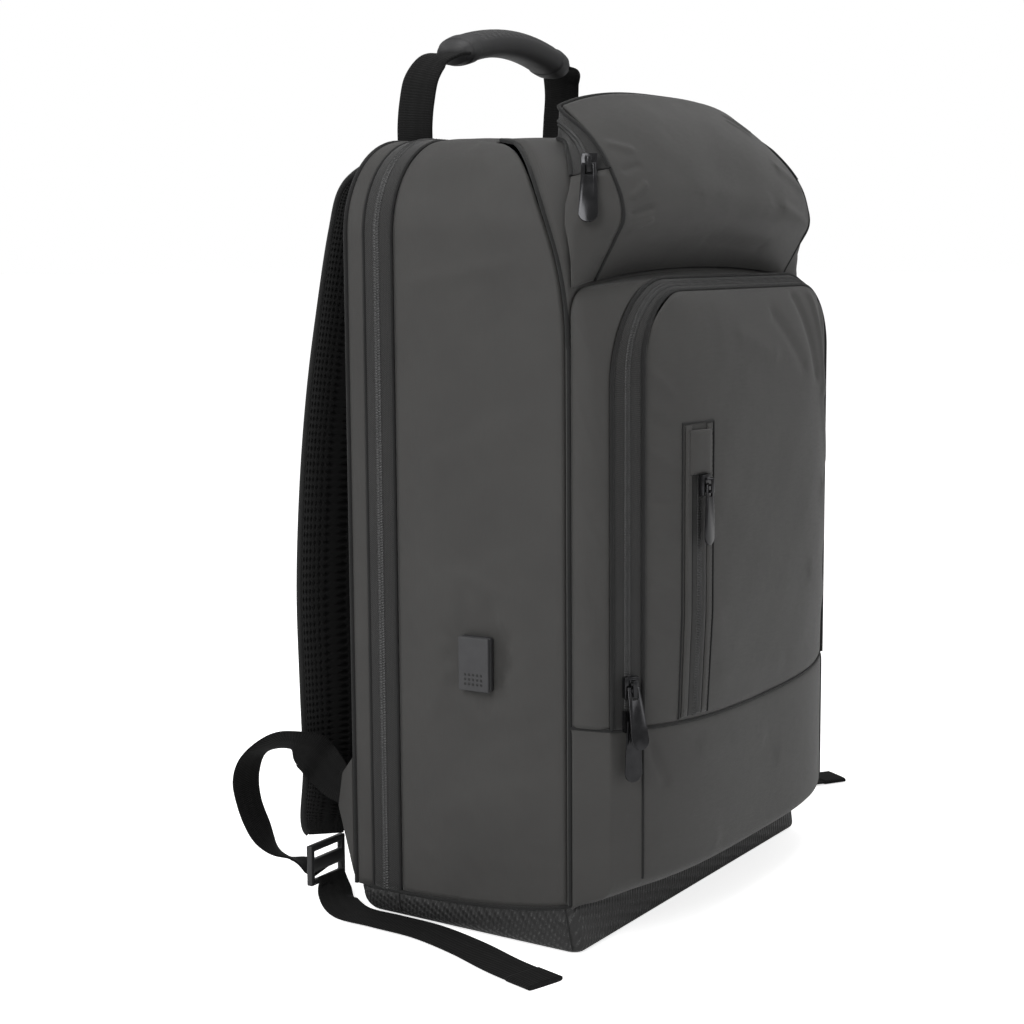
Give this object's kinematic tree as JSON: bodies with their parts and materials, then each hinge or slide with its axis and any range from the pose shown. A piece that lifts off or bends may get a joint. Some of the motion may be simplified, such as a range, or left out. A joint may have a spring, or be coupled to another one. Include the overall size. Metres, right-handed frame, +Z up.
{
  "type": "laptop backpack",
  "caption": "Charcoal laptop backpack with a top box, zipped front compartment, slit pocket, USB outlet, ribbed grip handle and padded shoulder straps.",
  "frame": {"origin": "middle of the bounding box at the level that the pack stands on", "axes": "+Z up, the front compartment towards -Y, the back pads and shoulder straps towards +Y, the USB outlet on the -X side"},
  "size_m": [0.493, 0.2744, 0.5298],
  "materials": {
    "cloth": "coated woven polyester, soft sheen",
    "boot": "coarse ballistic weave, coated",
    "zip": "twill zip tape with a fine coil",
    "mesh": "open spacer mesh over foam",
    "webbing": "ribbed webbing",
    "grip": "moulded, ribbed",
    "lock": "moulded, slightly glossy",
    "outlet": "moulded, matt",
    "cover": "moulded, matt, dotted near its lower end",
    "slider": "black plated, glossy",
    "pull": "black plated, glossy, bright at the edges"
  },
  "bodies": {
    "pack": {"side_gusset": "cloth", "yoke_wall": "cloth", "base_boot": "boot", "main_zip": "zip", "rear_strip": "cloth", "back_panel": "mesh", "back_pad_top": "mesh", "back_pad_upper": "mesh", "back_pad_lower": "mesh", "back_pad_base": "mesh", "front_flank": "cloth", "front_zip": "zip", "front_face": "cloth", "lower_front": "cloth", "slit_welt_left": "cloth", "slit_welt_right": "cloth", "slit_tape": "zip", "slit_flap": "cloth", "box_face": "cloth", "box_end_left": "cloth", "box_end_right": "cloth", "box_zip": "zip", "handle_leg_left": "webbing", "handle_leg_right": "webbing", "handle_grip": "grip", "shoulder_strap_left": "mesh", "ladder_lock_left": "lock", "strap_webbing_left": "webbing", "strap_tail_left": "webbing", "shoulder_strap_right": "mesh", "ladder_lock_right": "lock", "strap_webbing_right": "webbing", "strap_tail_right": "webbing", "wing_left": "cloth", "wing_right": "cloth", "usb_plate": "outlet", "usb_housing": "outlet", "slit_slider": "slider", "front_upper_slider": "slider", "front_lower_slider": "slider", "box_slider": "slider"},
    "slit_pull": {"slit_pull": "pull"},
    "front_upper_pull": {"front_upper_pull": "pull"},
    "front_lower_pull": {"front_lower_pull": "pull"},
    "box_pull": {"box_pull": "pull"},
    "usb_cover": {"usb_cover": "cover"}
  },
  "joints": [
    {"name": "slit_pull_swing", "type": "hinge", "parent": "pack", "child": "slit_pull", "pos_m": [-0.12163, -0.13465, 0.262], "axis": [-1, 0, 0], "range_deg": [0, 150]},
    {"name": "front_upper_pull_swing", "type": "hinge", "parent": "pack", "child": "front_upper_pull", "pos_m": [-0.17372, -0.11463, 0.154], "axis": [-0.8742, 0.4856, 0], "range_deg": [0, 135]},
    {"name": "front_lower_pull_swing", "type": "hinge", "parent": "pack", "child": "front_lower_pull", "pos_m": [-0.17372, -0.11463, 0.135], "axis": [-0.8742, 0.4856, 0], "range_deg": [0, 22]},
    {"name": "box_pull_swing", "type": "hinge", "parent": "pack", "child": "box_pull", "pos_m": [-0.17168, -0.086, 0.43849], "axis": [-0.4604, 0.8877, 0], "range_deg": [0, 125]},
    {"name": "usb_cover_swing", "type": "hinge", "parent": "pack", "child": "usb_cover", "pos_m": [-0.19478, -0.02387, 0.176], "axis": [0, 1, 0], "range_deg": [0, 100]}
  ]
}
